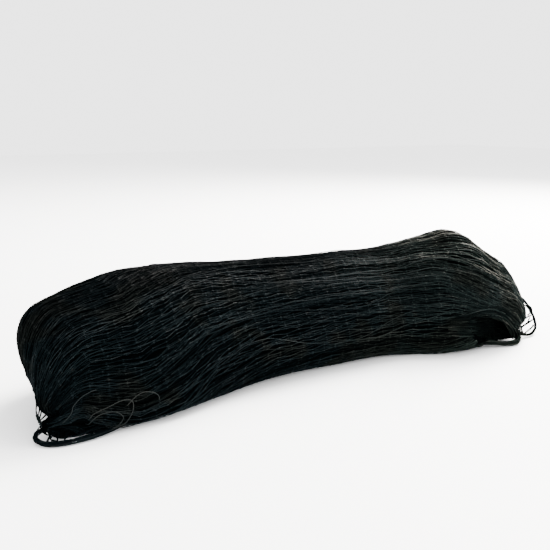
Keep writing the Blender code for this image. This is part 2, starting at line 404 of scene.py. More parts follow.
class Shader:
    """One node material and the nodes that are added to it."""

    def __init__(self, name):
        self.material = bpy.data.materials.new(name)
        self.material.use_nodes = True
        self.tree = self.material.node_tree
        self.surface = self.tree.nodes["Principled BSDF"]

    def node(self, kind, settings=None, inputs=None, output=0):
        """Adds a node of any kind: its settings are set first, then its inputs get values or links."""
        made = self.tree.nodes.new(kind)
        for key, value in (settings or {}).items():
            setattr(made, key, value)
        for key, value in (inputs or {}).items():
            self.put(made.inputs[key], value)
        return Value(self, made.outputs[output])

    def put(self, socket, value):
        if isinstance(value, Value):
            self.tree.links.new(value.socket, socket)
        elif isinstance(value, (tuple, list)) and len(value) == 3 and socket.type == "RGBA":
            socket.default_value = (*value, 1.0)
        else:
            socket.default_value = value

    def mix(self, factor, first, second):
        """Blends two colours."""
        made = self.tree.nodes.new("ShaderNodeMix")
        made.data_type = "RGBA"
        colours = [socket for socket in made.inputs if socket.type == "RGBA"]
        self.put(made.inputs["Factor"], factor)
        self.put(colours[0], first)
        self.put(colours[1], second)
        return Value(self, next(s for s in made.outputs if s.type == "RGBA"))

    def place(self):
        """Where a point is, in the part's own frame."""
        return self.node("ShaderNodeTexCoord", output="Object")

    def speckle(self, scale, detail=2.0, vector=None):
        return self.node(
            "ShaderNodeTexNoise", {"noise_dimensions": "3D"},
            {"Vector": vector or self.place(), "Scale": scale, "Detail": detail}, "Fac",
        )

    def attribute(self, name):
        return self.node("ShaderNodeAttribute", {"attribute_name": name}, output="Fac")

    def part_of(self, vector, axis):
        """One of the three numbers of a vector."""
        return self.node("ShaderNodeSeparateXYZ", None, {0: vector}, axis)

    def finish(self, colour, roughness, height, distance):
        """Feeds the surface: distance is the depth of the bump in metres."""
        self.put(self.surface.inputs["Base Color"], colour)
        self.put(self.surface.inputs["Roughness"], roughness)
        bump = self.node(
            "ShaderNodeBump", None,
            {"Height": height, "Distance": distance, "Strength": BUMP_STRENGTH},
            "Normal",
        )
        self.put(self.surface.inputs["Normal"], bump)
        return self.material


def yarn_material():
    """Fine twisted black yarn: matt, a faint sheen, each strand a little its own black."""
    if "Twisted yarn" in bpy.data.materials:
        return bpy.data.materials["Twisted yarn"]
    colours = bpy.context.scene.yarn_colours
    yarn = Shader("Twisted yarn")
    shade = yarn.attribute("shade")
    along = yarn.attribute("along")
    around = yarn.part_of(yarn.node("ShaderNodeUVMap", {"uv_map": "UVMap"}), "Y")
    twist = (along * (2 * math.pi / TWIST_PITCH) + around * (2 * math.pi * TWIST_PLIES)).wave()
    fluff = yarn.speckle(900.0, 3.0)
    patches = yarn.speckle(14.0).clamped(0.35, 0.68)
    # Painted light: the lobe with the open fold is painted paler as the lit side, most at its top and least
    # at its foot, and it is browner in patches.
    right = yarn.part_of(yarn.place(), "X").clamped(-0.03, 0.2)
    height = yarn.part_of(yarn.place(), "Z")
    wear = height.clamped(0.06, 0.1) * 0.4 - height.clamped(0.0, 0.04) * 0.55 + 0.9
    crest = yarn.mix(right * wear, tuple(colours.pale), tuple(colours.painted_lit_pale))
    crest = yarn.mix(yarn.speckle(24.0).clamped(0.5, 0.62) * 0.6, crest, tuple(colours.brown))
    # Painted sheen: shade above 1 turns yarn towards the sheen colour, most on the lobe with the open fold.
    crest = yarn.mix((shade - 1.0) * (right * 0.85 + 0.15), crest, tuple(colours.painted_sheen))
    # Painted shade: the top of the other lobe is painted dimmer than its sides.
    painted_dim_top = height.clamped(0.058, 0.11) * (1.0 - right) * 0.95
    colour = yarn.mix(shade * (patches * 0.4 + 0.84 - painted_dim_top) + 0.07, tuple(colours.deep), crest)
    dust = yarn.speckle(160.0, 4.0).clamped(0.6, 0.8)
    colour = yarn.mix(dust * shade * 0.5, colour, tuple(colours.dusty))
    roughness = 0.5 + fluff * 0.2 + shade * 0.08
    # A faint coat gives the sheen, and the surface below it has no grey shine of its own.
    yarn.surface.inputs["Specular IOR Level"].default_value = 0.0
    yarn.surface.inputs["Coat Roughness"].default_value = 0.4
    yarn.put(yarn.surface.inputs["Coat Weight"], shade * shade * 0.08)
    return yarn.finish(colour, roughness, twist * 0.5 + fluff * 0.8, YARN_RELIEF)


def inside_material():
    """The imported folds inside, seen only as darkness between the strands."""
    colours = bpy.context.scene.yarn_colours
    inside = Shader("Packed inner folds")
    place = inside.place()
    stretched = inside.node("ShaderNodeMapping", None, {"Vector": place, "Scale": (30.0, 700.0, 700.0)})
    lines = inside.speckle(1.0, 2.0, stretched)
    colour = inside.mix(lines.clamped(0.45, 0.75), tuple(colours.inside), tuple(colours.deep))
    roughness = 0.7 + lines * 0.2
    inside.surface.inputs["Specular IOR Level"].default_value = 0.0
    return inside.finish(colour, roughness, lines, INSIDE_RELIEF)


# ---- the skin

# Noise comes in about half a unit and is made a whole one. Seeds lie this far apart in it.
NOISE_GAIN = 1.7
SEED_SPACING = 3.7
# Points to each span of a route's table, before they are spaced evenly.
ROUTE_FINENESS = 24
TINY = 1e-9


def smooth_route(table, step):
    """Points a step apart in mm along a soft curve through a table of points in mm."""
    knots = np.array(table, float)
    ends = np.vstack([2 * knots[0] - knots[1], knots, 2 * knots[-1] - knots[-2]])
    fine = []
    for before, start, end, after in zip(ends, ends[1:], ends[2:], ends[3:]):
        for t in np.linspace(0.0, 1.0, ROUTE_FINENESS, endpoint=False):
            fine.append(
                0.5 * (2 * start + (end - before) * t
                       + (2 * before - 5 * start + 4 * end - after) * t ** 2
                       + (3 * start - before - 3 * end + after) * t ** 3)
            )
    fine.append(knots[-1])
    return evenly(np.array(fine), step)


def lengths(points):
    """Length along a line of points, from its start."""
    return np.concatenate([[0.0], np.cumsum(np.linalg.norm(np.diff(points, axis=0), axis=1))])


def between(places, along, points):
    """A line's points at new places along it."""
    return np.column_stack([np.interp(places, along, points[:, k]) for k in range(3)])


def evenly(points, step):
    """The same line with its points about a step apart."""
    along = lengths(points)
    places = np.linspace(0.0, along[-1], max(2, round(along[-1] / step) + 1))
    return between(places, along, points)


def noisy(places, wavelength, seed):
    """Smooth noise of about one unit, by place."""
    return np.array([
        noise.noise(Vector((place / wavelength, seed * SEED_SPACING, 0.5))) for place in places
    ]) * NOISE_GAIN


def unit(vectors):
    """Vectors made one long."""
    return vectors / np.maximum(np.linalg.norm(vectors, axis=-1, keepdims=True), TINY)


def half_turned(angles):
    """Angles in degrees brought between -180 and 180."""
    return (angles + 180.0) % 360.0 - 180.0


class Skin:
    """The hank's outside as a grid of stations along it by angles round it.

    Angle 0 faces the front, -Y, and 90 the top. All lengths are in mm.
    """

    def __init__(self, node, loose_parts):
        solid = bmesh.new()
        solid.from_mesh(node.data)
        self.tree = BVHTree.FromBMesh(solid)
        solid.free()
        self.loose = [(smooth_route(route, LOOSE_STEP), radius) for route, radius in loose_parts]
        self.angles = np.arange(0.0, 360.0, ANGLE_STEP)
        origins, directions, along = self.stations()
        reach = self.read(origins, directions)
        self.points = origins[:, None] + directions * reach[..., None]
        self.normals = self.outward(directions)
        self.along = along
        self.count = len(along)

    def stations(self):
        """Start points and directions of the rays, and the place along of each station."""
        x, lean = [], []
        for count, x0, x1, lean0, lean1 in STATION_SPANS:
            steps = np.linspace(0.0, 1.0, count, endpoint=False)
            x.extend(x0 + (x1 - x0) * steps)
            lean.extend(lean0 + (lean1 - lean0) * steps)
        x, lean = np.array(x), np.array(lean)
        side = np.sign(x)
        spine = np.array(SPINE, float)
        origins = np.column_stack([x] + [np.interp(x, spine[:, 0], spine[:, k]) for k in (1, 2)])
        turn = np.radians(self.angles)
        radial = np.column_stack([np.zeros_like(turn), -np.cos(turn), np.sin(turn)])
        to_left = unit(np.array(LEFT_GATHERED, float) - origins[0])
        to_right = unit(np.array(RIGHT_GATHERED, float) - origins[-1])
        poles = np.where(side[:, None] < 0, to_left, to_right)
        cos, sin = np.cos(np.radians(lean)), np.sin(np.radians(lean))
        directions = cos[:, None, None] * radial[None] + (sin[:, None] * poles)[:, None]
        return origins, unit(directions), x + side * lean

    def read(self, origins, directions):
        """How far out the skin is along each ray, read from outside inwards."""
        reach = np.full(directions.shape[:2], np.nan)
        for row, start in enumerate(origins):
            for column, way in enumerate(directions[row]):
                outside = Vector(start * MM + way * RAY_START)
                hit, _, _, distance = self.tree.ray_cast(outside, Vector(-way))
                if hit is not None and not self.on_loose(np.array(hit) / MM):
                    reach[row, column] = (RAY_START - distance) / MM
        # Rays that were passed over take the mean of their neighbours.
        while np.isnan(reach).any():
            near = np.stack([np.roll(reach, 1, 1), np.roll(reach, -1, 1),
                             np.vstack([reach[:1], reach[:-1]]), np.vstack([reach[1:], reach[-1:]])])
            known = ~np.isnan(near)
            mean = np.where(known, near, 0.0).sum(0) / np.maximum(known.sum(0), 1)
            reach = np.where(np.isnan(reach) & known.any(0), mean, reach)
        for _ in range(SKIN_SMOOTHING):
            reach = (np.roll(reach, 1, 1) + 2 * reach + np.roll(reach, -1, 1)) / 4
            reach[1:-1] = (reach[:-2] + 2 * reach[1:-1] + reach[2:]) / 4
        return reach

    def on_loose(self, point):
        """Whether a point of the solid belongs to its slack yarn, which isn't skin."""
        return any(
            np.min(np.linalg.norm(route - point, axis=1)) < radius * LOOP_MARGIN
            for route, radius in self.loose
        )

    def outward(self, directions):
        """The way out of the hank at each point of the grid."""
        along = np.gradient(self.points, axis=0)
        around = np.roll(self.points, -1, 1) - np.roll(self.points, 1, 1)
        normals = unit(np.cross(along, around))
        flip = np.sign((normals * directions).sum(2, keepdims=True))
        return normals * np.where(flip == 0, 1, flip)

    def at(self, stations, angles):
        """Points and normals of the skin at these stations and angles."""
        rows = np.clip(stations, 0, self.count - 1.001)
        row = rows.astype(int)
        u = (rows - row)[:, None]
        columns = (np.asarray(angles) / ANGLE_STEP) % len(self.angles)
        column = columns.astype(int) % len(self.angles)
        after = (column + 1) % len(self.angles)
        v = (columns - np.floor(columns))[:, None]

        def blend(grid):
            first = grid[row, column] * (1 - v) + grid[row, after] * v
            second = grid[row + 1, column] * (1 - v) + grid[row + 1, after] * v
            return first * (1 - u) + second * u

        return blend(self.points), unit(blend(self.normals))


@functools.cache
def hank_skin():
    """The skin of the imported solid, read once."""
    return Skin(frame["nodes"][NODE], ((SLACK_BUNDLE, SLACK_RADIUS), (FINE_LOOP, FINE_LOOP_RADIUS)))


# ---- strands

# Lengths of the waves in which pleats and strands wander, steps between the points of plain strands and of
# strays, and the sides of a strand's tube.
PLEAT_WAVE = 120.0
STRAND_WAVE = 60.0
PLAIN_WAVE = 22.0
RISE_WAVE = 30.0
FINE_WAVE = 9.0
STRAY_WAVE = 90.0
PLAIN_STEP = 6.0
STRAY_STEP = 4.5
TUBE_SIDES = 4
# Lengths of the waves in which a bundle's strands wind, stand off its route and change their shade.
WIND_WAVE = 40.0
OFF_WAVE = 25.0
SHADE_WAVE = 13.0
# How far aside the knots of one strand lie, by turns.
ZIGZAG = 0.75
# The share of strands that take their pleat's shade, the shade of the others over it, the palest shade of
# yarn without painted sheen, and how much the painted sheen adds.
PALE_SHARE = 0.82
DARK_STRAND = 0.15
PALEST = 1.15
PAINTED_SHEEN_GAIN = 1.3
# Where the strands gather at an end, this share of the pleats is painted lit and the others painted in
# shadow.
PAINTED_LIT_PLEATS = 0.4
GATHERED_PAINTED_LIT = 1.25
GATHERED_PAINTED_SHADE = 0.2


def drawn_in(along, angles):
    """Turns a strand towards the open fold as it comes to the right end."""
    fold = np.interp(along, MOUTH_ALONG, MOUTH_ANGLE) + DRAWN_ABOVE
    off = np.clip(DRAWN_FALL * half_turned(angles - fold), -180.0, 180.0)
    return angles - np.interp(along, DRAWN_ALONG, DRAWN_IN) * np.sin(np.radians(off))


def parted(along, angles, part):
    """Pushes a strand to the side that it is on wherever the strands part."""
    moved = angles.copy()
    openings = [(np.interp(MOUTH_WIDEST, MOUTH_ALONG, MOUTH_ANGLE), MOUTH_WIDEST,
                 np.interp(along, MOUTH_ALONG, MOUTH_HALF, left=0.0, right=0.0))]
    for place, angle, run, half in PARTINGS:
        openings.append((angle, place, half * np.exp(-((along - place) / run) ** 2)))
    for angle, place, half in openings:
        off = half_turned(np.interp(place, along, angles) - angle)
        push = np.sqrt(off ** 2 + (part * half) ** 2) - abs(off)
        moved += push if off > 0 else -push
    return moved


def pull_taut(points, normals, reach):
    """Lifts a line where the skin is hollow under it, as a taut strand bridges a hollow."""
    lift = np.zeros(len(points))
    for gap in range(1, reach + 1):
        middle = (points[:-2 * gap] + points[2 * gap:]) / 2
        rise = ((middle - points[gap:-gap]) * normals[gap:-gap]).sum(1)
        lift[gap:-gap] = np.maximum(lift[gap:-gap], rise)
    return points + normals * np.minimum(lift, BRIDGE_LIMIT)[:, None]


class Strand:
    """One strand laid on the skin: its points, and the direction out and sideways at each."""

    def __init__(self, angle, first, last, lean, part=1.0):
        skin = hank_skin()
        stations = np.arange(first, last, 1.0)
        along = np.interp(stations, np.arange(skin.count), skin.along)
        angles = angle + np.interp(along, DRIFT_ALONG, DRIFT_TURN) + lean(along)
        angles = parted(along, drawn_in(along, angles), part)
        points, normals = skin.at(stations, angles)
        self.points = pull_taut(points, normals, BRIDGE_REACH)
        self.normals = normals
        self.place = lengths(self.points)
        self.place -= np.interp(0.0, along, self.place)
        self.sides = unit(np.cross(normals, np.gradient(self.points, axis=0)))

    def at(self, places, sideways, lift):
        """Points of the strand at places along it, moved sideways and out."""
        points, sides, normals = (
            between(places, self.place, grid) for grid in (self.points, self.sides, self.normals)
        )
        return points + sides * sideways[:, None] + normals * lift[:, None]


def knotted_places(strand, bar, phase):
    """Places along a strand with a knot at every bar, which of them are knots, and how far aside each is.

    The knots swing to one side and the other by turns, as the strand zigzags through the mesh.
    """
    first = math.ceil((strand.place[0] - phase) / bar)
    last = math.floor((strand.place[-1] - phase) / bar)
    places, knots, sides = [], [], []
    for count in range(first, last + 1):
        for shift in (-KNOT_HALF, 0.0, KNOT_HALF, bar / 3, bar * 2 / 3):
            places.append(count * bar + phase + shift)
            knots.append(shift == 0.0)
            swing = 1 - 2 * abs(shift) / bar if shift < bar / 2 else 1 - 2 * shift / bar
            sides.append(swing * (-1 if count % 2 else 1))
    order = np.argsort(places)
    places = np.array(places)[order]
    inside = (places > strand.place[0]) & (places < strand.place[-1])
    return places[inside], np.array(knots)[order][inside], np.array(sides)[order][inside]


def dive(count, depth, run):
    """Lift at each of count points: none but at both ends, where a run of them goes down to a depth."""
    steps = np.arange(count)
    near = np.minimum(steps, steps[::-1])
    return -depth * np.clip(1 - near / run, 0, 1) ** 2


def yarn_mesh(name, strands, swell=1.0):
    """A piece made of strands: each is points in mm, thickness at each over the yarn's, and its shade.

    A strand is a tube of four sides, closed at both ends, and none goes below the floor. swell thickens
    them all.
    """
    diameter = bpy.context.scene.yarn_sizes.diameter * swell
    curve = bpy.data.curves.new(name, "CURVE")
    curve.dimensions = "3D"
    curve.bevel_depth = diameter / 2
    curve.bevel_resolution = 0
    curve.resolution_u = 1
    shades, places = [], []
    floor = diameter / 2 / MM
    for points, thickness, shade in strands:
        points = np.array(points)
        points[:, 2] = np.maximum(points[:, 2], floor * np.max(thickness))
        spline = curve.splines.new("POLY")
        spline.points.add(len(points) - 1)
        spline.points.foreach_set("co", np.column_stack([points * MM, np.ones(len(points))]).ravel())
        spline.points.foreach_set("radius", np.asarray(thickness, float))
        shades.append(np.repeat(np.broadcast_to(shade, len(points)), TUBE_SIDES))
        places.append(np.repeat(lengths(points) * MM, TUBE_SIDES))
    piece = bpy.data.objects.new(name, curve)
    bpy.context.scene.collection.objects.link(piece)
    bpy.ops.object.select_all(action="DESELECT")
    piece.select_set(True)
    bpy.context.view_layer.objects.active = piece
    bpy.ops.object.convert(target="MESH")
    piece = bpy.context.view_layer.objects.active
    mesh = piece.data
    for label, values in (("shade", shades), ("along", places)):
        layer = mesh.attributes.new(label, "FLOAT", "POINT")
        layer.data.foreach_set("value", np.concatenate(values).astype(np.float32))
    shell = bmesh.new()
    shell.from_mesh(mesh)
    bmesh.ops.holes_fill(shell, edges=[e for e in shell.edges if e.is_boundary], sides=TUBE_SIDES)
    shell.to_mesh(mesh)
    shell.free()
    bpy.ops.object.shade_smooth()
    return dressed(piece, yarn_material())


def dressed(piece, material):
    """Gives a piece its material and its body."""
    piece.data.materials.clear()
    piece.data.materials.append(material)
    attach(piece, BODY)
    return piece


def hollow_shadow(points):
    """How dark the painted shadow makes the yarn in the open fold's hollow: 1 is not at all."""
    off = (points - np.array(HOLLOW_MIDDLE)) / np.array(HOLLOW_REACH)
    return 1.0 - HOLLOW_PAINTED_SHADOW * np.exp(-(off ** 2).sum(1) ** 2)


def clear_of_gap(points, width=1.0):
    """Points moved aside so that the gap at the left end stays open right through."""
    line = unit(np.array(GAP_WAY))
    aside = unit(np.cross(line, (0.0, 0.0, 1.0)))
    up = np.cross(aside, line)
    off = points - np.array(GAP_MIDDLE)
    right, high, far = off @ aside, off @ up, off @ line
    fall = np.where(high > 0, GAP_RISE, GAP_DROP)
    open_to = width * GAP_WIDTH * np.exp(-(high / fall) ** 2) * (np.abs(far) < GAP_DEPTH)
    share = np.clip(1 - (right - open_to) / GAP_SPREAD, 0, 1)
    return points + (open_to * share)[:, None] * aside


def painted_sheen_share(strand, places):
    """How much painted sheen lies at places along a strand: most on the right end's upper, outer side."""
    facing = np.interp(strand.normals @ unit(np.array(PAINTED_SHEEN_WAY)), PAINTED_SHEEN_FACING, (0.0, 1.0))
    behind = np.interp(strand.normals @ np.array(SHADED_WAY), SHADED_FACING, (1.0, SHADED_SHARE))
    painted_sheen = facing * behind * np.interp(strand.points[:, 0], PAINTED_SHEEN_ALONG, (0.0, 1.0))
    return np.interp(places, strand.place, painted_sheen)


class Pleat:
    """A few strands side by side that lie alike: the pleat's crest, its knots and how it wanders."""

    def __init__(self, dice, spread, shades):
        self.size = dice.randint(2, 6)
        self.height = dice.uniform(0.1, 0.5)
        self.shade = dice.uniform(*shades)
        self.spread = spread * dice.uniform(0.6, 1.3)
        self.seed = dice.random() * 100
        self.bar = bpy.context.scene.yarn_sizes.mesh_bar / MM * dice.uniform(0.92, 1.1)
        self.phase = dice.uniform(0.0, self.bar)
        self.gathered = GATHERED_PAINTED_LIT if self.seed % 1.0 < PAINTED_LIT_PLEATS else GATHERED_PAINTED_SHADE


def along_shade(strand, places, points, shade, gathered):
    """A strand's shade with painted shadow and light in bunches at the gathered ends, and painted sheen."""
    run = lengths(points)
    close = np.exp(-(np.minimum(run, run[-1] - run) / GATHER_REACH) ** 2)
    gathered = gathered * np.interp(points[:, 0], WAIST, (LEFT_GATHERED_SHARE, 1.0))
    shade = np.clip(shade * (1 - close * (1 - gathered)), 0.0, PALEST)
    return shade + PAINTED_SHEEN_GAIN * painted_sheen_share(strand, places) * (0.3 + 0.7 * shade)


def net_layer(count, seed, depth, spread, knots, part, shades):
    """Strands side by side right round the hank, in pleats of a few.

    They lie at a depth under the skin and wander by spread degrees. part is how far they give way at the
    partings, from 0 to 1, and shades are those of the darkest pleat and of the palest.
    """
    sizes = bpy.context.scene.yarn_sizes
    dice = random.Random(seed)
    skin = hank_skin()
    strands, pleat, row = [], Pleat(dice, spread, shades), 0
    for index in range(count):
        if row == pleat.size:
            pleat, row = Pleat(dice, spread, shades), 0
        crest = 1 - ((2 * row + 1) / pleat.size - 1) ** 2
        row += 1
        own_seed = dice.random() * 100
        angle = 360.0 * (index + dice.uniform(0.2, 0.8)) / count

        def lean(along, pleat=pleat, own_seed=own_seed):
            own = 0.45 * spread * noisy(along, STRAND_WAVE, own_seed)
            return pleat.spread * noisy(along, PLEAT_WAVE, pleat.seed) + own

        strand = Strand(angle, dice.uniform(0, 8), skin.count - dice.uniform(1, 12), lean, part)
        # The knots swing it from side to side. A plain strand only wanders.
        if knots:
            places, is_knot, swing = knotted_places(strand, pleat.bar, pleat.phase)
            swing = swing * (1 if index % 2 else -1) * ZIGZAG
            thickness = np.where(is_knot, sizes.knot_swell, 1.0) * dice.uniform(0.8, 1.15)
        else:
            places = np.arange(strand.place[0], strand.place[-1], PLAIN_STEP)
            is_knot = np.zeros(len(places))
            swing = noisy(places, PLAIN_WAVE, own_seed) * 0.8
            thickness = np.full(len(places), dice.uniform(0.9, 1.1))
        # High on the pleat's crest, and down under the skin at both ends.
        rise = pleat.height * crest + 0.3 * noisy(places, RISE_WAVE, own_seed + 50) - depth
        rise = rise + dive(len(places), 2.0, 4.0)
        sideways = swing + 0.3 * noisy(places, FINE_WAVE, own_seed + 20)
        # Painted light: palest on the pleat's crest and at the knots, where light catches them, and a little
        # unevenly lit on the way.
        own_shade = dice.uniform(0.6, 1.1) if dice.random() < PALE_SHARE else DARK_STRAND
        shade = pleat.shade * (0.7 + 0.3 * crest) * own_shade
        shade = shade * (1.0 + 0.5 * noisy(places, FINE_WAVE, own_seed + 70)) + 0.3 * shades[1] * is_knot
        points = clear_of_gap(strand.at(places, sideways, rise))
        shade = along_shade(strand, places, points, shade, pleat.gathered)
        # Painted shadow darkens the outside in the open fold's hollow. The layers below are painted a little
        # paler there.
        lit = hollow_shadow(points)
        strands.append((points, thickness, shade * lit if knots else shade + 0.2 * (1 - lit)))
    return strands


def bundle(route, radius, count, turns, seed, thickness=1.0, step=3.0, shades=(0.0, 0.4)):
    """Strands that wind round one another along a route.

    They make so many turns on the way. thickness is theirs over the yarn's, step the distance between their
    points, and shades those of the darkest and of the palest: most are nearer the darkest.
    """
    dice = random.Random(seed)
    line = smooth_route(route, step)
    ways = unit(np.gradient(line, axis=0))
    side = unit(np.cross(ways, (0.0, 0.0, 1.0)))
    up = np.cross(side, ways)
    place = lengths(line)
    strands = []
    for index in range(count):
        own = dice.random() * 100
        turn = 2 * math.pi * (index / count + turns * place / place[-1])
        turn = turn + 0.9 * noisy(place, WIND_WAVE, own)
        off = math.sqrt(dice.uniform(0.15, 1.0)) + 0.25 * noisy(place, OFF_WAVE, own + 5)
        off = radius * np.clip(off, 0.1, 1.15)
        points = line + side * (off * np.cos(turn))[:, None] + up * (off * np.sin(turn))[:, None]
        shade = shades[0] + (shades[1] - shades[0]) * dice.random() ** 2.5
        shade = shade * (1.0 + 0.6 * noisy(place, SHADE_WAVE, own + 70))
        thick = np.full(len(points), thickness * dice.uniform(0.9, 1.1))
        strands.append((points, thick, np.clip(shade, 0.0, 1.3)))
    return strands


# ---- operators


class HANK_OT_inner_folds(bpy.types.Operator):
    """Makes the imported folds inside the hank, just under its skin"""

    bl_idname = "hank.inner_folds"
    bl_label = "Inner folds"

    def execute(self, context):
        solid = frame["nodes"][NODE]
        bpy.ops.object.select_all(action="DESELECT")
        solid.select_set(True)
        context.view_layer.objects.active = solid
        bpy.ops.object.duplicate()
        folds = context.view_layer.objects.active
        if folds == solid:
            raise RuntimeError("the hank's solid was not copied")
        folds.name = folds.data.name = "hank_inner_folds"
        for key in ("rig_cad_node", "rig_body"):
            if key in folds:
                del folds[key]
        folds.parent = None
        bpy.ops.object.mode_set(mode="EDIT")
        bpy.ops.mesh.select_all(action="SELECT")
        bpy.ops.mesh.remove_doubles(threshold=WELD)
        bpy.ops.mesh.normals_make_consistent(inside=False)
        bpy.ops.transform.shrink_fatten(value=-context.scene.yarn_sizes.inner_depth)
        bpy.ops.object.mode_set(mode="OBJECT")
        bpy.ops.object.shade_smooth()
        shell = bmesh.new()
        shell.from_mesh(folds.data)
        gap = Vector(GAP_MIDDLE) * MM
        for reach in GAP_ROUNDS:
            near = [
                edge for edge in shell.edges
                if edge.calc_length() > GAP_FACET * MM
                and min((end.co - gap).length for end in edge.verts) < reach * MM
            ]
            bmesh.ops.subdivide_edges(shell, edges=near, cuts=1)
            bmesh.ops.triangulate(shell, faces=shell.faces)
        places = clear_of_gap(np.array([vertex.co for vertex in shell.verts]) / MM, INNER_GAP)
        for vertex, place in zip(shell.verts, places):
            vertex.co = place * MM
        shell.to_mesh(folds.data)
        shell.free()
        dressed(folds, inside_material())
        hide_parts(NODE)
        return {"FINISHED"}


class HANK_OT_lower_strands(bpy.types.Operator):
    """Lays the two layers of plain strands below the outside of the hank"""

    bl_idname = "hank.lower_strands"
    bl_label = "Lower strands"

    def execute(self, context):
        count = context.scene.yarn_sizes.under_count
        # The layers below are painted much darker than the outside, as shade under it.
        under = net_layer(count, seed=11, depth=1.6, spread=4.0, knots=False, part=0.5, shades=(0.0, 0.1))
        yarn_mesh("hank_under_strands", under, 1.1)
        middle = net_layer(count, seed=29, depth=1.0, spread=3.2, knots=False, part=0.75, shades=(0.0, 0.3))
        yarn_mesh("hank_middle_strands", middle)
        return {"FINISHED"}


class HANK_OT_outer_strands(bpy.types.Operator):
    """Lays the knotted strands round the outside of the hank"""

    bl_idname = "hank.outer_strands"
    bl_label = "Outer strands"

    def execute(self, context):
        count = context.scene.yarn_sizes.outer_count
        strands = net_layer(
            count, seed=5, depth=0.3, spread=2.4, knots=True, part=1.0, shades=(0.65, 0.95)
        )
        eighth = count // 8
        yarn_mesh("hank_strands_front", strands[:eighth] + strands[-eighth:])
        yarn_mesh("hank_strands_top", strands[eighth:3 * eighth])
        yarn_mesh("hank_strands_back", strands[3 * eighth:5 * eighth])
        yarn_mesh("hank_strands_below", strands[5 * eighth:-eighth])
        return {"FINISHED"}


class HANK_OT_stray_strands(bpy.types.Operator):
    """Lays single strands that cross the others"""

    bl_idname = "hank.stray_strands"
    bl_label = "Stray strands"

    def execute(self, context):
        dice = random.Random(23)
        skin = hank_skin()
        strands = []
        for _ in range(context.scene.yarn_sizes.stray_count):
            seed = dice.random() * 100
            swing = dice.uniform(5.0, 12.0)
            first = dice.uniform(6, skin.count - 60)
            last = min(first + dice.uniform(28, 90), skin.count - 6)

            def lean(along, seed=seed, swing=swing):
                return swing * noisy(along, STRAY_WAVE, seed)

            strand = Strand(dice.uniform(0.0, 360.0), first, last, lean)
            places = np.arange(strand.place[0], strand.place[-1], STRAY_STEP)
            rise = 0.5 + 0.4 * noisy(places, RISE_WAVE, seed) + dive(len(places), 2.6, 4.0)
            points = strand.at(places, 0.4 * noisy(places, 12.0, seed + 9), rise)
            strands.append((points, np.full(len(places), dice.uniform(0.8, 1.0)), dice.uniform(0.4, 1.0)))
        yarn_mesh("hank_stray_strands", strands)
        return {"FINISHED"}


class HANK_OT_slack_bundle(bpy.types.Operator):
    """Makes the slack bundle, the sagging fold and the corner of the left end"""

    bl_idname = "hank.slack_bundle"
    bl_label = "Slack bundle"

    def execute(self, context):
        slack = bundle(SLACK_BUNDLE, radius=1.7, count=28, turns=0.7, seed=3, shades=(0.1, 1.2))
        yarn_mesh("slack_bundle", slack)
        sagging = bundle(SAGGING_FOLD, radius=4.3, count=60, turns=0.4, seed=6)
        yarn_mesh("sagging_fold", sagging, 1.2)
        corner = bundle(LEFT_CORNER, radius=2.2, count=30, turns=0.4, seed=7, shades=(0.0, 0.7))
        yarn_mesh("left_corner", corner)
        return {"FINISHED"}


class HANK_OT_fold_lip(bpy.types.Operator):
    """Makes the gathered strands of the lower lip of the open fold"""

    bl_idname = "hank.fold_lip"
    bl_label = "Fold's lip"

    def execute(self, context):
        folds = bundle(LIP, radius=2.3, count=40, turns=0.6, seed=8, shades=(0.1, 1.2))
        for seed, (count, radius, route) in enumerate(FOLD_RIMS, 80):
            folds += bundle(route, radius, count, turns=0.3, seed=seed, shades=(0.0, 1.0))
        # The strands behind the fold and across its foot are painted near black, as shade in the hollow.
        folds += bundle(FOLD_BACK, radius=3.4, count=44, turns=0.3, seed=90, shades=(0.0, 0.05))
        folds += bundle(FOLD_SILL, radius=2.0, count=30, turns=0.3, seed=91, shades=(0.0, 0.1))
        for seed, route in enumerate(FOLD_THROAT, 100):
            throat = bundle(route, radius=2.2, count=22, turns=0.2, seed=seed, shades=(0.1, 1.3))
            for points, thickness, shade in throat:
                inwards = np.interp(points[:, 0], THROAT_ALONG, THROAT_PAINTED_SHADE)
                folds.append((points, thickness, shade * inwards))
        yarn_mesh("fold_lip", folds)
        return {"FINISHED"}


class HANK_OT_fine_loops(bpy.types.Operator):
    """Makes the fine slack threads that stand off the right end"""

    bl_idname = "hank.fine_loops"
    bl_label = "Fine loops"

    def execute(self, context):
        threads = bundle(FINE_LOOP, radius=1.2, count=22, turns=0.8, seed=17, thickness=1.1)
        for seed, (count, route) in enumerate(LOOP_THREADS, 60):
            radius = 0.35 * math.sqrt(count)
            threads += bundle(route, radius, count, turns=0.5, seed=seed, thickness=1.2, step=2.0)
        yarn_mesh("fine_loops", threads)
        return {"FINISHED"}


class HANK_OT_gap_threads(bpy.types.Operator):
    """Makes the threads that cross the gaps at the left end"""

    bl_idname = "hank.gap_threads"
    bl_label = "Gap threads"

    def execute(self, context):
        threads = bundle(GAP_RIM, radius=1.8, count=26, turns=0.4, seed=41, shades=(0.0, 0.6))
        threads += bundle(GAP_CORD, radius=0.95, count=12, turns=0.6, seed=43, shades=(0.4, 1.2))
        seed = 50
        for routes, radius, count in ((UPPER_GAP_THREADS, 0.3, 2), (LOWER_GAP_THREADS, 0.5, 3)):
            for route in routes:
                threads += bundle(route, radius, count, turns=0.5, seed=seed, thickness=1.2, step=2.0)
                seed += 1
        yarn_mesh("gap_threads", threads)
        return {"FINISHED"}


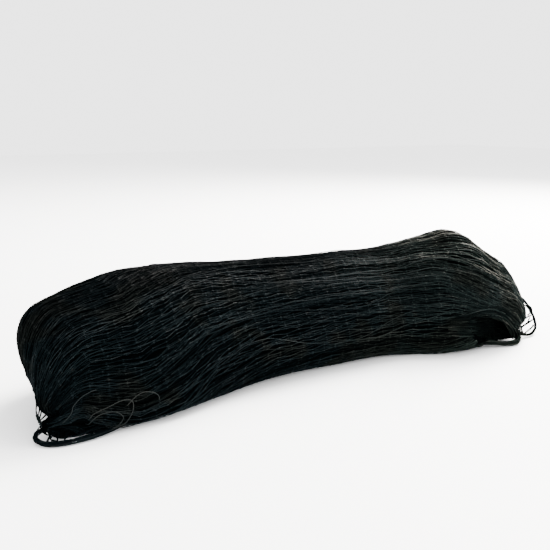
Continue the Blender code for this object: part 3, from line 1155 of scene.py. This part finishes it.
class HANK_OT_front_curls(bpy.types.Operator):
    """Makes the loose curls on the front of the left lobe"""

    bl_idname = "hank.front_curls"
    bl_label = "Front curls"

    def execute(self, context):
        skin = hank_skin()
        curls = []
        for route in CURLS:
            places = np.array(route, float)
            places[:, 1] = np.degrees(np.unwrap(np.radians(places[:, 1])))
            line = smooth_route(np.column_stack([places, np.zeros(len(places))]), CURL_STEP)
            stations = np.interp(line[:, 0], skin.along, np.arange(skin.count))
            points, normals = skin.at(stations, line[:, 1])
            points = points + normals * (CURL_RISE + dive(len(points), 2.5, 4.0))[:, None]
            curls.append((points, np.full(len(points), 1.0), CURL_SHADE))
        yarn_mesh("front_curls", curls)
        return {"FINISHED"}


FLOOR_SIZE = 8.0
# The softboxes: name, place, target, size, power and colour.
SOFTBOXES = (
    ("overhead_softbox", (0.9, 0.25, 1.4), (0.1, 0.0, 0.0), 1.4, 120.0, (1.0, 0.985, 0.96)),
    ("side_softbox", (1.35, 0.6, 1.05), (0.19, 0.0, 0.05), 0.9, 180.0, (1.0, 0.97, 0.92)),
    ("front_softbox", (0.35, -1.3, 0.6), (0.05, 0.0, 0.04), 1.4, 14.0, (0.96, 1.0, 1.0)),
)
AIR_STRENGTH = 3.4
# The camera: its place in metres, its turn from the front and its dip in degrees, and its lens in mm, from
# the render's width and the focal length in pixels.
CAMERA_PLACE = (-0.3523, -0.551, 0.220)
CAMERA_TURN = 30
CAMERA_DIP = 12
SENSOR_WIDTH = 36.0
FOCAL_PIXELS = 744.0
RENDER_WIDTH = 550.0
FOCAL_LENGTH = FOCAL_PIXELS / RENDER_WIDTH * SENSOR_WIDTH


def soft_light(name, place, target, size, power, colour):
    """A round softbox at a place, aimed at a target: metres and watts."""
    light = bpy.data.lights.new(name, "AREA")
    light.shape = "DISK"
    light.size = size
    light.energy = power
    light.color = colour
    lamp = bpy.data.objects.new(name, light)
    bpy.context.scene.collection.objects.link(lamp)
    lamp.location = place
    lamp.rotation_euler = (Vector(target) - Vector(place)).to_track_quat("-Z", "Y").to_euler()


class HANK_OT_stage(bpy.types.Operator):
    """Sets the pale floor, the soft light and the camera"""

    bl_idname = "hank.stage"
    bl_label = "Stage"

    def execute(self, context):
        bpy.ops.object.select_all(action="DESELECT")
        bpy.ops.mesh.primitive_plane_add(size=FLOOR_SIZE, location=(0.0, 0.0, 0.0))
        floor = context.active_object
        floor.name = "stage_floor"
        paint = Shader("Pale floor")
        cloud = paint.speckle(3.0)
        tone = tuple(context.scene.yarn_colours.floor)
        colour = paint.mix(cloud * 0.04, tone, tuple(0.97 * c for c in tone))
        floor.data.materials.append(paint.finish(colour, 0.6 + cloud * 0.1, cloud, FLOOR_RELIEF))
        for settings in SOFTBOXES:
            soft_light(*settings)
        world = bpy.data.worlds.new("Studio air")
        world.use_nodes = True
        air = world.node_tree.nodes["Background"]
        air.inputs["Color"].default_value = (1.0, 1.0, 1.0, 1.0)
        air.inputs["Strength"].default_value = AIR_STRENGTH
        context.scene.world = world
        lens = bpy.data.cameras.new("Studio camera")
        lens.sensor_width = SENSOR_WIDTH
        lens.lens = FOCAL_LENGTH
        camera = bpy.data.objects.new("studio_camera", lens)
        context.scene.collection.objects.link(camera)
        camera.location = CAMERA_PLACE
        turn, dip = math.radians(CAMERA_TURN), math.radians(CAMERA_DIP)
        aim = Vector((math.sin(turn) * math.cos(dip), math.cos(turn) * math.cos(dip), -math.sin(dip)))
        camera.rotation_euler = aim.to_track_quat("-Z", "Y").to_euler()
        context.scene.camera = camera
        return {"FINISHED"}


# ---- panel and run

STEPS = (
    HANK_OT_inner_folds, HANK_OT_lower_strands, HANK_OT_outer_strands, HANK_OT_stray_strands,
    HANK_OT_slack_bundle, HANK_OT_gap_threads, HANK_OT_front_curls, HANK_OT_fold_lip,
    HANK_OT_fine_loops, HANK_OT_stage,
)


class HANK_PT_panel(bpy.types.Panel):
    """Lists the hank's pieces in the 3D view's sidebar"""

    bl_idname = "HANK_PT_panel"
    bl_label = "Bird netting"
    bl_space_type = "VIEW_3D"
    bl_region_type = "UI"
    bl_category = "Bird netting"

    def draw(self, context):
        for settings in (context.scene.yarn_sizes, context.scene.yarn_colours):
            for key in settings.__annotations__:
                self.layout.prop(settings, key)
        for step in STEPS:
            self.layout.operator(step.bl_idname)


CLASSES = (YarnSizes, YarnColours, *STEPS, HANK_PT_panel)


def register():
    for made in CLASSES:
        bpy.utils.register_class(made)
    bpy.types.Scene.yarn_sizes = bpy.props.PointerProperty(type=YarnSizes)
    bpy.types.Scene.yarn_colours = bpy.props.PointerProperty(type=YarnColours)


def unregister():
    del bpy.types.Scene.yarn_colours
    del bpy.types.Scene.yarn_sizes
    for made in reversed(CLASSES):
        bpy.utils.unregister_class(made)


def main():
    register()
    for step in STEPS:
        module, name = step.bl_idname.split(".")
        getattr(getattr(bpy.ops, module), name)()


if __name__ == "__main__":
    main()
